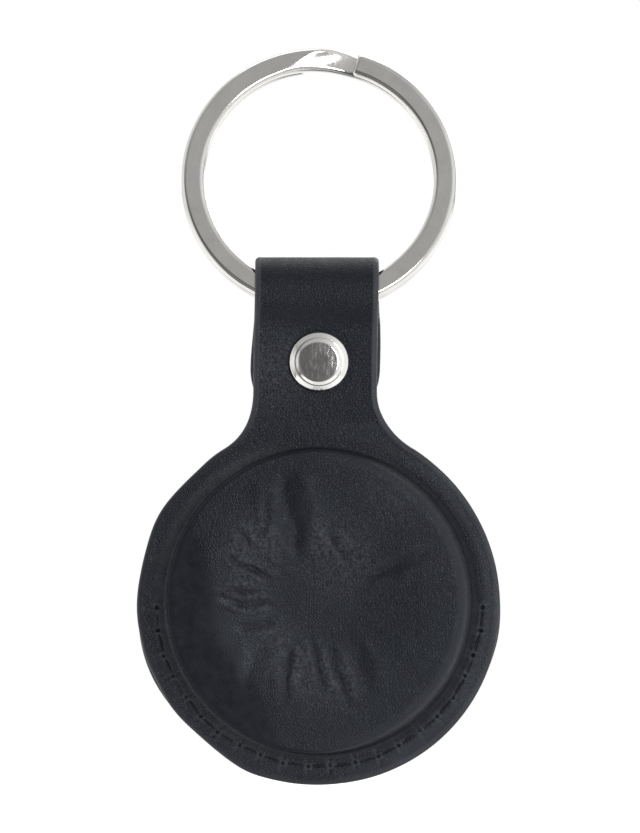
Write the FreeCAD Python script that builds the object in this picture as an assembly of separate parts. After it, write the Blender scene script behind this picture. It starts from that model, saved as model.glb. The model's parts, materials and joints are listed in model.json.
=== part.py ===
import FreeCAD, Part
import math
import os

from FreeCAD import Vector

os.makedirs("parts", exist_ok=True)

# Leather holder for a coin-shaped tracker tag, hanging from a split key ring.
# Working frame: origin at the disc's centre, between the two panels. +X right, +Y back, +Z up.
# Each piece is moved at the end, so that the finished part's origin is the ring's inside top.

# Tag that the pocket is moulded for
tag_diameter = 31.9
tag_thickness = 8.0
tag_side_clearance = 0.85
tag_depth_clearance = 0.2

# Leather panels
leather = 1.2
panel_gap = 0.1
front_depth_share = 0.53
wall_lean = 1.5
foot_bend = 0.9
crown_bend = 1.6
dome_shift_x = 0.45
dome_shift_z = 0.3
rim_width = 3.65

# Strap, fold and tail
strap_width = 14.4
tail_width = 15.1
neck_fillet = 6.0
snap_rise = 7.0
snap_flat = 3.5
loop_clearance = 0.16
fold_bow = 1.0
fold_straight = 0.4
fold_slit = 0.12
tail_bend = 1.85
tail_end_drop = 0.75

# Rear flap, the loose upper half of the rear panel
flap_line = 0.8
flap_slit = 0.12
notch_margin = 1.5

# Seam round the lower half
seam_inset = 2.1
seam_half_angle = 88.5
stitch_count = 21
thread_radius = 0.22
thread_knot = 0.06
thread_hole_clearance = 0.04
thread_lift = 0.02

# Snap fastener: cap and socket on the strap, stud and post on the tail
metal_sheet = 0.35
metal_fit = 0.03
leather_hole_clearance = 0.1
cap_radius = 3.4
cap_rim = 0.42
cap_land = 0.75
cap_groove = 0.14
cap_shoulder = 0.45
cap_shoulder_rise = 0.2
cap_crown = 0.12
barrel_radius = 1.2
barrel_flare = 0.4
flare_height = 0.2
socket_radius = 3.35
socket_wall = 0.42
socket_height = 1.7
socket_lip = 0.35
socket_lip_height = 0.25
spring_wire_radius = 0.18
spring_grip = 0.05
stud_head_radius = 1.75
stud_bevel = 0.2
stud_neck_radius = 1.45
stud_flange_radius = 2.6
stud_flange = 0.3
stud_tip_clearance = 0.14
snap_clearance = 0.4
post_radius = 0.8
post_tip_wall = 0.3
post_cap_radius = 3.4
post_cap_rim = 0.2
post_cap_crown = 0.3

# Split ring of flat wire, two turns
ring_diameter = 32.0
wire_width = 2.6
wire_thickness = 1.25
wire_edge = 0.4
coil_gap = 0.1
ring_tilt = 18.0
front_end_angle = 17.0
joggle_start_angle = -2.0
joggle_end_angle = 16.0
rear_end_angle = -7.0
joggle_sections = 7

# One overrun serves every cut, and points closer than same_point are one point
overrun = 1.0
same_point = 1e-6

# Places worked out from the driving dimensions
inner_depth = tag_thickness + tag_depth_clearance
front_depth = inner_depth * front_depth_share
rear_depth = inner_depth - front_depth - panel_gap
wall_base_radius = tag_diameter / 2 + tag_side_clearance + leather / 2
wall_top_radius = wall_base_radius - wall_lean
dome_foot_radius = wall_base_radius + leather
disc_radius = wall_base_radius + rim_width
rear_face = panel_gap + leather
rear_crown = rear_face + rear_depth

snap_z = disc_radius + snap_rise
bend_start_z = snap_z + snap_flat
tail_inner_y = socket_height + snap_clearance + stud_flange
tail_outer_y = tail_inner_y + leather
tail_end_radius = tail_width / 2
tail_end_z = snap_z - tail_end_drop

seam_radius = disc_radius - seam_inset
knot_radius = thread_radius + thread_knot
hole_radius = knot_radius + thread_hole_clearance

ring_radius = ring_diameter / 2
bore_radius = ring_radius - wire_width
wire_radius = ring_radius - wire_width / 2
coil_offset = (wire_thickness + coil_gap) / 2
# Seen along the strap's width, the ring's wire fills a block from its lowest point up to
# its bore at the strap's edges.
block_top = math.sqrt(bore_radius**2 - tail_end_radius**2)
block_half_length = (ring_radius - block_top) / 2
block_half_depth = wire_thickness + coil_gap / 2
swing_radius = math.hypot(block_half_length - wire_edge, block_half_depth - wire_edge) + wire_edge
pivot_radius = (ring_radius + block_top) / 2
loop_radius = swing_radius + loop_clearance
loop_y = loop_radius - fold_bow
fold_radius = loop_radius + leather / 2
fold_back_y = loop_y + fold_radius
# Two opposite bends bring the tail from the fold's back to its own plane, and set the fold's height.
tail_shift = fold_back_y - tail_inner_y - leather / 2
tail_turn = math.acos(1 - tail_shift / (fold_radius + tail_bend))
bend_end_z = bend_start_z + (fold_radius + tail_bend) * math.sin(tail_turn)
pivot_z = bend_end_z + fold_straight

across = Vector(1, 0, 0)
back = Vector(0, 1, 0)
up = Vector(0, 0, 1)
origin = Vector(0, 0, 0)
ring_lean = math.radians(ring_tilt)
lean = Vector(0, math.sin(ring_lean), math.cos(ring_lean))
ring_centre = Vector(0, loop_y, pivot_z) + lean * pivot_radius
hang_point = ring_centre + lean * bore_radius


# Shared helpers


def export(name, shape):
    """Writes one piece, with the ring's inside top at the origin."""
    moved = shape.copy()
    moved.translate(hang_point * -1)
    moved.exportStep(f"parts/{name}.step")


def line(start, end):
    return Part.LineSegment(start, end).toShape()


def face_of(edges):
    return Part.Face(Part.Wire(Part.sortEdges(edges)[0]))


def rounded_edges(points, radii):
    """Straight runs through the points, joined at each inner point by a tangent arc."""
    edges = []
    start = points[0]
    for before, corner, after, radius in zip(points, points[1:], points[2:], radii):
        to_before = (before - corner).normalize()
        to_after = (after - corner).normalize()
        half_angle = to_before.getAngle(to_after) / 2
        reach = radius / math.tan(half_angle)
        inward = (to_before + to_after).normalize()
        arc_start = corner + to_before * reach
        arc_middle = corner + inward * (radius / math.sin(half_angle) - radius)
        arc_end = corner + to_after * reach
        if start.distanceToPoint(arc_start) > same_point:
            edges.append(line(start, arc_start))
        edges.append(Part.Arc(arc_start, arc_middle, arc_end).toShape())
        start = arc_end
    edges.append(line(start, points[-1]))
    return edges


def side_of(points, radii, normal, distance):
    """The rounded line that runs beside another one, at a distance to its left."""
    runs = [(end - start).normalize() for start, end in zip(points, points[1:])]
    lefts = [normal.cross(run) for run in runs]
    moved = [points[0] + lefts[0] * distance]
    moved_radii = []
    for point, radius, run, left, next_left in zip(points[1:], radii, runs, lefts, lefts[1:]):
        moved.append(point + (left + next_left) * (distance / (1 + left.dot(next_left))))
        turns_left = run.dot(next_left) < 0
        moved_radii.append(radius - distance if turns_left else radius + distance)
    moved.append(points[-1] + lefts[-1] * distance)
    return moved, moved_radii


def band(points, radii, normal):
    """A strip of leather's thickness along a rounded line, as a flat face."""
    left, left_radii = side_of(points, radii, normal, leather / 2)
    right, right_radii = side_of(points, radii, normal, -leather / 2)
    edges = rounded_edges(left, left_radii) + rounded_edges(right, right_radii)
    edges.append(line(left[-1], right[-1]))
    edges.append(line(right[0], left[0]))
    return face_of(edges)


def s_bend(shift, length):
    """Two like arcs that shift leather sideways: how far each corner lies from its end, and the radius."""
    half_turn = math.atan2(shift, length)
    reach = length / (1 + math.cos(2 * half_turn)) / 2
    return reach, reach / math.tan(half_turn)


def turned(points):
    """A solid of revolution about Y, from (radius, y) points."""
    corners = [Vector(radius, y, 0) for radius, y in points]
    outline = Part.makePolygon(corners + corners[:1])
    return Part.Face(outline).revolve(origin, back, 360)


def rod(radius, start_y, end_y, x, z):
    """A round bar along Y."""
    return Part.makeCylinder(radius, end_y - start_y, Vector(x, start_y, z), back)


def at_snap(shape):
    moved = shape.copy()
    moved.translate(up * snap_z)
    return moved


# Leather panels


def dome(middle_y, direction, depth):
    """The moulded half of the pocket, as a shell of leather's thickness."""
    crown_y = middle_y + direction * depth
    path = [
        Vector(dome_foot_radius, middle_y, 0),
        Vector(wall_base_radius, middle_y, 0),
        Vector(wall_top_radius, crown_y, 0),
        Vector(0, crown_y, 0),
    ]
    shell = band(path, [foot_bend, crown_bend], up).revolve(origin, back, 360)
    shell.translate(Vector(dome_shift_x, 0, dome_shift_z))
    return shell


def dome_opening(start_y, end_y):
    return rod(dome_foot_radius, start_y, end_y, dome_shift_x, dome_shift_z)


def seam_points():
    """Needle holes along the seam, from the right end round the bottom to the left end."""
    step = 2 * seam_half_angle / stitch_count
    angles = [math.radians(seam_half_angle - step * index) for index in range(stitch_count + 1)]
    return [(seam_radius * math.sin(angle), -seam_radius * math.cos(angle)) for angle in angles]


def needle_holes(start_y, end_y):
    return [rod(hole_radius, start_y - overrun, end_y + overrun, x, z) for x, z in seam_points()]


def front_sheet():
    """The flat disc with its neck and strap, up to where the strap starts to bend round the ring."""
    half = strap_width / 2
    neck_x = half + neck_fillet
    neck_z = math.sqrt((disc_radius + neck_fillet) ** 2 - neck_x**2)
    edges = [line(Vector(-half, 0, bend_start_z), Vector(half, 0, bend_start_z))]
    feet = []
    for side in (1, -1):
        centre = Vector(side * neck_x, 0, neck_z)
        strap_foot = Vector(side * half, 0, neck_z)
        disc_foot = centre * (disc_radius / (disc_radius + neck_fillet))
        inward = (strap_foot + disc_foot - centre * 2).normalize()
        edges.append(line(Vector(side * half, 0, bend_start_z), strap_foot))
        edges.append(Part.Arc(strap_foot, centre + inward * neck_fillet, disc_foot).toShape())
        feet.append(disc_foot)
    edges.append(Part.Arc(feet[0], up * -disc_radius, feet[1]).toShape())
    return face_of(edges).extrude(back * -leather)


def strap_fold():
    """The strap's bend forward, over the ring and down to the line where the tail starts to swing."""
    reach, radius = s_bend(fold_bow, bend_end_z - bend_start_z)
    leg_y = -leather / 2
    fold_y = leg_y - fold_bow
    fold_top = pivot_z + fold_radius
    path = [
        Vector(0, leg_y, bend_start_z),
        Vector(0, leg_y, bend_start_z + reach),
        Vector(0, fold_y, bend_end_z - reach),
        Vector(0, fold_y, fold_top),
        Vector(0, fold_back_y, fold_top),
        Vector(0, fold_back_y, bend_end_z + fold_slit),
    ]
    strip = band(path, [radius, radius, fold_radius, fold_radius], across)
    strip.translate(across * (-strap_width / 2))
    return strip.extrude(across * strap_width)


def front_panel():
    sheet = front_sheet().cut(dome_opening(-leather - overrun, overrun))
    panel = sheet.fuse([dome(-leather / 2, -1, front_depth), strap_fold()]).removeSplitter()
    barrel_hole = rod(barrel_radius + leather_hole_clearance, -leather - overrun, overrun, 0, snap_z)
    return panel.cut([barrel_hole] + needle_holes(-leather, 0))


def strap_tail():
    """The strap's end behind the ring, with its rounded tip."""
    tail_y = tail_inner_y + leather / 2
    tip_z = tail_end_z - tail_end_radius
    radii = [fold_radius, tail_bend]
    reaches = [radius * math.tan(tail_turn / 2) for radius in radii]
    path = [
        Vector(0, fold_back_y, bend_end_z),
        Vector(0, fold_back_y, bend_end_z - reaches[0]),
        Vector(0, tail_y, bend_start_z + reaches[1]),
        Vector(0, tail_y, tip_z - overrun),
    ]
    strip = band(path, radii, across)
    strip.translate(across * -tail_end_radius)
    left = Vector(-tail_end_radius, 0, tail_end_z)
    right = Vector(tail_end_radius, 0, tail_end_z)
    rise = up * (pivot_z - tail_end_z + overrun)
    outline = face_of(
        [
            Part.Arc(left, up * tip_z, right).toShape(),
            line(left, left + rise),
            line(left + rise, right + rise),
            line(right + rise, right),
        ]
    )
    tail = strip.extrude(across * tail_width).common(outline.extrude(back * (fold_back_y + leather)))
    return tail.cut(rod(post_radius + leather_hole_clearance, 0, tail_outer_y + overrun, 0, snap_z))


def rear_disc():
    disc = rod(disc_radius, panel_gap, rear_face, 0, 0).cut(dome_opening(0, rear_face + overrun))
    return disc.fuse(dome(panel_gap + leather / 2, 1, rear_depth)).removeSplitter()


def half_space(low_z, high_z):
    reach = disc_radius + overrun
    corner = Vector(-reach, -overrun, low_z)
    return Part.makeBox(2 * reach, rear_crown + 2 * overrun, high_z - low_z, corner)


def rear_panel():
    """The stitched lower half of the rear leather."""
    lower = rear_disc().common(half_space(-disc_radius - overrun, flap_line - flap_slit / 2))
    return lower.cut(needle_holes(panel_gap, rear_face))


def rear_flap():
    """The loose upper half of the rear leather, notched to clear the strap's tail."""
    upper = rear_disc().common(half_space(flap_line + flap_slit / 2, disc_radius + overrun))
    notch = rod(tail_end_radius + notch_margin, 0, rear_crown + overrun, 0, tail_end_z)
    return upper.cut(notch)


def seam_thread(surface_y, direction):
    """One thread of the lock stitch: a bar on the leather between holes, and a leg down each hole."""
    bar_y = surface_y + direction * (thread_radius + thread_lift)
    leg_start = panel_gap / 2 + direction * thread_lift
    leg_length = abs(bar_y - leg_start) + knot_radius
    points = [Vector(x, bar_y, z) for x, z in seam_points()]
    legs = []
    for point in points:
        foot = Vector(point.x, leg_start, point.z)
        legs.append(Part.makeCylinder(knot_radius, leg_length, foot, back * direction))
    bars = []
    for start, end in zip(points, points[1:]):
        bars.append(Part.makeCylinder(thread_radius, start.distanceToPoint(end), start, end - start))
    return legs[0].fuse(legs[1:] + bars)


# Snap fastener, each piece turned about the snap's own axis and then raised to it

cap_seat_y = -leather - metal_fit
cap_land_y = cap_seat_y - 2 * cap_rim
socket_seat_y = metal_fit
socket_floor_y = socket_seat_y + metal_sheet
flare_start_y = socket_floor_y + metal_fit
flare_end_y = flare_start_y + flare_height
socket_bore_radius = socket_radius - socket_wall
stud_tip_y = flare_end_y + stud_tip_clearance
stud_seat_y = tail_inner_y - metal_fit
post_tip_y = stud_tip_y + post_tip_wall + metal_fit
post_seat_y = tail_outer_y + metal_fit


def snap_cap():
    """Domed cap with a rolled rim, and the barrel that is flared over inside the socket."""
    rim_radius = cap_radius - cap_rim
    land_radius = cap_radius - cap_land
    groove_radius = land_radius - cap_groove
    crown_radius = groove_radius - cap_shoulder
    crown_y = cap_land_y - cap_shoulder_rise
    flare_radius = barrel_radius + barrel_flare
    axis_front = Vector(0, crown_y - cap_crown, 0)
    crown_edge = Vector(crown_radius, crown_y, 0)
    sphere_radius = (crown_radius**2 + cap_crown**2) / (2 * cap_crown)
    crown_turn = math.asin(crown_radius / sphere_radius) / 2
    crown_middle = Vector(
        sphere_radius * math.sin(crown_turn),
        axis_front.y + sphere_radius * (1 - math.cos(crown_turn)),
        0,
    )
    outline = [
        Vector(crown_radius, crown_y, 0),
        Vector(groove_radius, cap_land_y + cap_groove, 0),
        Vector(land_radius, cap_land_y, 0),
        Vector(rim_radius, cap_land_y, 0),
    ]
    under = [
        Vector(rim_radius, cap_seat_y, 0),
        Vector(barrel_radius, cap_seat_y, 0),
        Vector(barrel_radius, flare_start_y, 0),
        Vector(flare_radius, flare_start_y, 0),
        Vector(flare_radius, flare_end_y, 0),
        Vector(0, flare_end_y, 0),
        axis_front,
    ]
    rim = Part.Arc(outline[-1], Vector(cap_radius, cap_seat_y - cap_rim, 0), under[0]).toShape()
    crown = Part.Arc(axis_front, crown_middle, crown_edge).toShape()
    straight = [line(start, end) for run in (outline, under) for start, end in zip(run, run[1:])]
    return at_snap(face_of([rim, crown] + straight).revolve(origin, back, 360))


def snap_socket():
    """Cup behind the strap that the stud enters, with a lip that keeps the spring in."""
    hole = barrel_radius + metal_fit
    lip_radius = socket_bore_radius - socket_lip
    lip_y = socket_height - socket_lip_height
    cup = turned(
        [
            (hole, socket_seat_y),
            (socket_radius, socket_seat_y),
            (socket_radius, socket_height),
            (lip_radius, socket_height),
            (lip_radius, lip_y),
            (socket_bore_radius, lip_y),
            (socket_bore_radius, socket_floor_y),
            (hole, socket_floor_y),
        ]
    )
    return at_snap(cup)


def socket_spring():
    """Hairpin of wire in the socket, whose two legs grip the stud's neck."""
    leg_z = stud_neck_radius + spring_grip + spring_wire_radius
    room = socket_bore_radius - metal_fit
    spring_y = socket_height - socket_lip_height - metal_fit - spring_wire_radius
    bow_x = room - spring_wire_radius - leg_z
    leg_end_x = -math.sqrt(room**2 - (leg_z + spring_wire_radius) ** 2)
    upper_end = Vector(leg_end_x, spring_y, leg_z)
    upper_foot = Vector(bow_x, spring_y, leg_z)
    lower_foot = Vector(bow_x, spring_y, -leg_z)
    lower_end = Vector(leg_end_x, spring_y, -leg_z)
    bow = Part.Arc(upper_foot, Vector(bow_x + leg_z, spring_y, 0), lower_foot).toShape()
    path = Part.Wire([line(upper_end, upper_foot), bow, line(lower_foot, lower_end)])
    section = Part.Face(Part.Wire(Part.makeCircle(spring_wire_radius, upper_end, across)))
    return at_snap(path.makePipe(section))


def snap_stud():
    """Stud on the tail's inner face, with a bead that passes the spring."""
    bore = post_radius + metal_fit
    bore_end_y = stud_tip_y + post_tip_wall
    flange_y = stud_seat_y - stud_flange
    stud = turned(
        [
            (0, stud_tip_y),
            (stud_neck_radius, stud_tip_y),
            (stud_head_radius, stud_tip_y + stud_bevel),
            (stud_neck_radius, stud_tip_y + 2 * stud_bevel),
            (stud_neck_radius, flange_y),
            (stud_flange_radius, flange_y),
            (stud_flange_radius, stud_seat_y),
            (bore, stud_seat_y),
            (bore, bore_end_y),
            (0, bore_end_y),
        ]
    )
    return at_snap(stud)


def snap_post():
    """Rear cap whose post goes through the tail and into the stud."""
    rim_radius = post_cap_radius - post_cap_rim
    rim_y = post_seat_y + 2 * post_cap_rim
    axis_back = Vector(0, rim_y + post_cap_crown, 0)
    sphere_radius = (rim_radius**2 + post_cap_crown**2) / (2 * post_cap_crown)
    crown_turn = math.asin(rim_radius / sphere_radius) / 2
    crown_middle = Vector(
        sphere_radius * math.sin(crown_turn),
        axis_back.y - sphere_radius * (1 - math.cos(crown_turn)),
        0,
    )
    rim_back = Vector(rim_radius, rim_y, 0)
    rim_side = Vector(post_cap_radius, post_seat_y + post_cap_rim, 0)
    outline = [
        Vector(rim_radius, post_seat_y, 0),
        Vector(post_radius, post_seat_y, 0),
        Vector(post_radius, post_tip_y, 0),
        Vector(0, post_tip_y, 0),
        axis_back,
    ]
    edges = [line(start, end) for start, end in zip(outline, outline[1:])]
    edges.append(Part.Arc(axis_back, crown_middle, rim_back).toShape())
    edges.append(Part.Arc(rim_back, rim_side, outline[0]).toShape())
    return at_snap(face_of(edges).revolve(origin, back, 360))


# Split ring


def wire_section(angle, layer_y):
    """The flat wire's rounded section, at an angle clockwise from the ring's top as seen from the front."""
    half_width = wire_width / 2
    half_thickness = wire_thickness / 2
    low = wire_radius - half_width
    high = wire_radius + half_width
    near = layer_y - half_thickness
    far = layer_y + half_thickness
    points = [
        Vector(0, layer_y, low),
        Vector(0, far, low),
        Vector(0, far, high),
        Vector(0, near, high),
        Vector(0, near, low),
        Vector(0, layer_y, low),
    ]
    wire = Part.Wire(rounded_edges(points, [wire_edge] * 4))
    wire.rotate(origin, back, angle)
    return wire


def coil(start_angle, end_angle, layer_y):
    section = Part.Face(wire_section(start_angle, layer_y))
    return section.revolve(origin, back, end_angle - start_angle)


def split_ring():
    """Two turns of flat wire: the front turn crosses to the rear turn in a short joggle at the top."""
    front_turn = coil(front_end_angle, 360 + joggle_start_angle, -coil_offset)
    rear_turn = coil(joggle_end_angle, 360 + rear_end_angle, coil_offset)
    sections = []
    for index in range(joggle_sections):
        share = index / (joggle_sections - 1)
        eased = share * share * (3 - 2 * share)
        angle = joggle_start_angle + share * (joggle_end_angle - joggle_start_angle)
        sections.append(wire_section(angle, coil_offset * (2 * eased - 1)))
    joggle = Part.makeLoft(sections, True)
    ring = front_turn.fuse([joggle, rear_turn]).removeSplitter()
    ring.rotate(origin, across, -ring_tilt)
    ring.translate(ring_centre)
    return ring


pieces = {
    "front_panel": front_panel(),
    "strap_tail": strap_tail(),
    "rear_panel": rear_panel(),
    "rear_flap": rear_flap(),
    "front_thread": seam_thread(-leather, -1),
    "rear_thread": seam_thread(rear_face, 1),
    "snap_cap": snap_cap(),
    "snap_socket": snap_socket(),
    "socket_spring": socket_spring(),
    "snap_stud": snap_stud(),
    "snap_post": snap_post(),
    "split_ring": split_ring(),
}
for piece_name, piece_shape in pieces.items():
    export(piece_name, piece_shape)
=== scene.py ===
"""Dresses the leather tracker tag holder and lights it as in a plain studio."""
import json
import math

import bpy
import numpy as np
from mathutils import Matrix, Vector, noise
from mathutils.geometry import delaunay_2d_cdt


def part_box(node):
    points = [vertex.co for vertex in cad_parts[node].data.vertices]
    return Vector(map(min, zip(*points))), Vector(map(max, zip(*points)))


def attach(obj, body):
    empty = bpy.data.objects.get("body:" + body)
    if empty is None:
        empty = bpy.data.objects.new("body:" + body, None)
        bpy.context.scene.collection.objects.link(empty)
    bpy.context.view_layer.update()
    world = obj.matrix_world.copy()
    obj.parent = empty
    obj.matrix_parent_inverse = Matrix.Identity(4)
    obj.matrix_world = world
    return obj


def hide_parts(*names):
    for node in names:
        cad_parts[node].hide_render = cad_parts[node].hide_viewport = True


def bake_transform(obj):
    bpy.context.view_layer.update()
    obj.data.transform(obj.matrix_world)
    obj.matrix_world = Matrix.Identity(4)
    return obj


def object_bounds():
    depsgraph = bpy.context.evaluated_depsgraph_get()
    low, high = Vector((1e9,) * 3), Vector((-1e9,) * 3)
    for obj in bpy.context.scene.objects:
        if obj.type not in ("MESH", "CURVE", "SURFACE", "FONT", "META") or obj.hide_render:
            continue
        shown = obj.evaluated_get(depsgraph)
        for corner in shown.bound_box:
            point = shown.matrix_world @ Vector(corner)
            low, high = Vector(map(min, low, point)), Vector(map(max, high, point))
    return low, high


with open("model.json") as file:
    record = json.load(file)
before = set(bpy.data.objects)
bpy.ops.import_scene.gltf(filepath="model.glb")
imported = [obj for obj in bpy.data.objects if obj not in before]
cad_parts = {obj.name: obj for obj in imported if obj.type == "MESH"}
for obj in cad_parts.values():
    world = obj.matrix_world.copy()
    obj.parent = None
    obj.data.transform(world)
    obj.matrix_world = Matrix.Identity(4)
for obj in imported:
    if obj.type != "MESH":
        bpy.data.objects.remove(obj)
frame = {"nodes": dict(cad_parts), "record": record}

cad_low, cad_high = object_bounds()

# Lengths below are millimetres, and become metres when a mesh is made.
# A zone is a pair: the value at which something is absent, and the one at which it is complete.
mm = 0.001
tiny = 1e-9

# Leather
leather = 1.2
panel_gap = 0.1
sewn_gap_share = 0.2
unsewn_zone = (-1.0, 4.0)
edge_round = 0.8
edge_square = 2.5
edge_line_depth = 0.05
edge_line_width = 0.2
edge_step_shares = (0.0, 0.06, 0.2, 0.42, 0.7, 1.0)
flesh_share = 0.9
relief_fade = 0.35
strap_width = 14.4
strap_shift = -0.45
fold_shift = -0.22
neck_fillet = 7.6
neck_shift_zone = (17.0, 24.0)
fold_shift_zone = (26.0, 40.0)
tail_width = 15.1
tail_shift = -0.45
tail_widening = 9.0
tail_shift_zone = (3.5, 10.5)
snap_flat = 3.5
fold_straight = 0.4
tail_bend = 1.85
tail_end_drop = 0.75
notch_margin = 1.5
notch_round = 1.6

# Moulded pocket: each pair of bends has the radius of the grain face and of the flesh face
wall_base_radius = 17.15
steep_lean = 0.1
steep_crown_bends = (0.3, 0.15)
steep_foot_bends = (0.5, 0.7)
slack_lean = 0.65
slack_crown_bends = (1.5, 0.7)
slack_foot_bends = (0.55, 0.9)
slack_zone = (-0.2, 0.7)
dome_shift = np.array([0.08, 0.2])

# The rim lies a little out of its plane, and is rolled down at the right
wave_size = 7.0
wave_height = 0.5
wave_zone = (14.0, 8.0)
roll_depth = 0.24
roll_zone = (-1.9, -0.5)
roll_height_zone = (18.0, 14.0)

# Hand-cut rim: clockwise angle from the top, half width in degrees and how far it stands out
rim_drop = 0.24
neck_fade = 12.0
rim_bumps = (
    (40, 16, 0.1),
    (97, 10, -0.1),
    (172, 22, -0.16),
    (203, 6, 0.12),
    (221, 13, -0.44),
    (243, 7, -0.18),
    (268, 9, 0.14),
    (299, 10, 0.34),
    (330, 8, 0.3),
)
rear_rim_bumps = (
    (100, 9, 0.12),
    (135, 14, -0.2),
    (180, 20, -0.15),
    (221, 15, -0.5),
    (252, 12, 0.16),
    (300, 14, -0.2),
)

# Creases pressed round the pocket's middle: start and end from the disc's middle, half width, depth
front_creases = (
    ((-4.2, 14.0), (-2.4, 6.0), 1.2, 0.16),
    ((-6.2, 13.0), (-6.0, 8.8), 0.5, 0.06),
    ((-9.4, 8.2), (-7.6, 6.6), 0.32, 0.06),
    ((-9.7, 5.0), (-6.3, 3.0), 0.34, 0.13),
    ((-10.4, 1.6), (-7.0, 1.3), 0.28, 0.1),
    ((-10.3, 0.3), (-6.2, -0.2), 0.34, 0.11),
    ((-8.6, -2.8), (-5.6, -2.3), 0.5, 0.07),
    ((-6.2, -4.0), (-8.4, -9.0), 0.9, 0.02),
    ((-3.4, -5.0), (-4.0, -10.6), 0.55, 0.07),
    ((-0.8, -4.6), (0.3, -9.4), 0.45, 0.07),
    ((1.2, -5.4), (3.4, -11.4), 0.5, 0.06),
    ((3.4, -4.6), (6.0, -9.6), 0.9, 0.06),
    ((5.8, 3.0), (11.4, 5.4), 0.6, 0.08),
    ((1.2, 8.2), (3.4, 4.6), 0.4, 0.04),
)

# Softer folds of the rear leather, where its upper half bends
rear_creases = (
    ((-14.0, 3.4), (-3.0, 2.2), 0.8, 0.06),
    ((2.0, 2.6), (13.5, 3.8), 0.8, 0.05),
    ((-9.0, 6.0), (1.0, 5.2), 0.9, 0.04),
    ((-6.0, -5.0), (-9.0, -11.0), 0.9, 0.05),
    ((4.0, -6.0), (7.0, -11.5), 0.9, 0.05),
)
crease_height = 2.0
crease_fade = 1.6
crease_change = 0.6
crease_change_size = 1.7
ridge_share = 0.6
ridge_gap = 2
warp_size = 2.6
warp_reach = 0.5

# Other relief of the leather
dish_depth = 0.42
dish_zone = (10.8, 3.5)
pillow_height = 0.15
pillow_radius = 13.0
pillow_width = 3.0
wrinkle_height = 0.05
wrinkle_turns = 7.0
wrinkle_length = 3.4
wrinkle_inner_zone = (3.0, 6.0)
wrinkle_outer_zone = (12.0, 8.5)
swell_size = 6.0
swell_height = 0.1
swell_zone = (16.0, 12.0)
snap_dent_depth = 0.12
snap_dent_radius = 3.0
snap_dent_width = 0.7

# Unevenness of the sheets: size and height
front_uneven = (5.0, 0.02)
tail_uneven = (5.0, 0.06)
rear_uneven = (6.0, 0.1)

# Pale patches: place from the disc's middle, reach and strength. The front's patches paint light on its
# creased slopes.
front_spots = (
    (-8.0, 7.0, 3.1, 1.0),
    (-8.6, 1.4, 2.6, 0.9),
    (1.4, 6.6, 3.4, 0.8),
    (4.5, 5.0, 3.0, 0.5),
    (-4.6, -4.5, 3.0, 0.7),
    (0.5, 1.5, 3.0, 0.35),
    (8.0, 12.4, 3.6, 0.45),
    (-1.6, -8.0, 3.0, 0.6),
    (2.0, -9.0, 3.0, 0.55),
    (-5.6, 27.5, 4.5, 0.8),
)
rear_spots = (
    (-7.0, 4.0, 4.0, 0.5),
    (5.5, 3.4, 4.5, 0.5),
    (0.0, 12.0, 5.0, 0.4),
    (-8.5, -9.0, 4.0, 0.4),
    (7.5, -9.5, 4.0, 0.45),
)
tail_spots = (
    (-4.5, 26.5, 3.0, 0.4),
    (4.0, 32.0, 3.5, 0.5),
    (-3.0, 36.0, 3.5, 0.4),
)
# Painted highlight on crease ridges and painted shade in their valleys: fold height at which each is
# complete, and the strength in valleys and on ridges
ridge_height = 0.09
ridge_shading = (0.15, 1.95)

# Painted light round the pocket, then its matt and calm leather, in zones outwards of the wall's foot, some
# with an inner and an outer one
# Painted light lifting the whole rim
rim_light = 0.15
rim_zone = (-0.7, -0.3)
# Painted fill light in the shadow beside the steep left wall
wall_shadow_fill = 0.95
beside_wall = ((-0.7, -0.4), (1.5, 0.0))
# Painted highlight on the slack wall and crown at the right
slack_wall_sheen = 0.65
slack_wall = ((-1.2, -0.9), (-0.5, -0.85))
slack_crown_sheen = 0.32
slack_crown = ((-3.15, -1.45), (-0.8, -1.1))
steep_wall = ((-1.2, -0.9), (-0.45, -0.65))
foot_matt = 0.8
wall_foot = ((-0.75, -0.5), (0.6, 0.2))
pocket_zone = (-0.65, -1.05)
shadow_fill_zone = (-0.05, -0.6)
calm_lean = 0.4
calm_zone = (-8.5, -12.5)

# Painted highlight on the outer rim and its edge at the right, and the paler band along the strap's edges,
# in zones outwards of the disc's rim
outer_rim_sheen = 0.3
outer_zone = (-2.4, -1.2)
right_edge_sheen = 0.4
leg_zone = (-4.0, 2.0)

# Seam
seam_inset = 2.1
seam_half_angle = 88.5
seam_fade = 0.04
stitch_count = 21
stitch_rise = -0.1
stitch_change = 0.06
stitch_dip = 0.4
stitch_inset = 0.06
stitch_arch = 0.45
stitch_points = 13
thread_radius = 0.1
thread_end_size = 0.8
thread_sides = 10
groove_depth = 0.1
groove_width = 0.1
hole_wander = 0.12
hole_size = (0.08, 0.12)
hole_change = 0.4
end_holes = (3, 2)
end_hole_size = (0.45, 0.21)
lip_height = 0.14
lip_radius = 0.3
lip_width = 0.14
# Painted highlight on the needle holes' lips
lip_sheen = 0.9
dent_depth = 0.2
dent_width = 0.2
dent_reach = 0.8
pleat_gap = 0.32
pleat_width = 0.17
# Painted highlight on the pleats beside the holes
pleat_sheen = 0.85

# Sine waves that make the sewing uneven from stitch to stitch: step and start
along_wave = (2.4, 0.0)
across_wave = (1.7, 0.6)
hole_wave = (3.1, 0.5)
stitch_wave = (2.1, 0.0)

# Mesh spacing
pocket_step = 0.24
rear_step = 0.42
wall_step = 0.12
rear_wall_step = 0.16
rim_step = 0.34
strap_step = 0.3
row_share = 0.866
crown_margin = 2.2
fine_step = 0.2
edge_clearance = 0.6 * fine_step
pocket_clearance = 1.5 * fine_step
path_step = 0.04
soften_step = 0.1
seam_step = 0.13
seam_band = 0.8
sheet_margin = 2.0
rim_samples = 700
block_size = 2000

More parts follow.
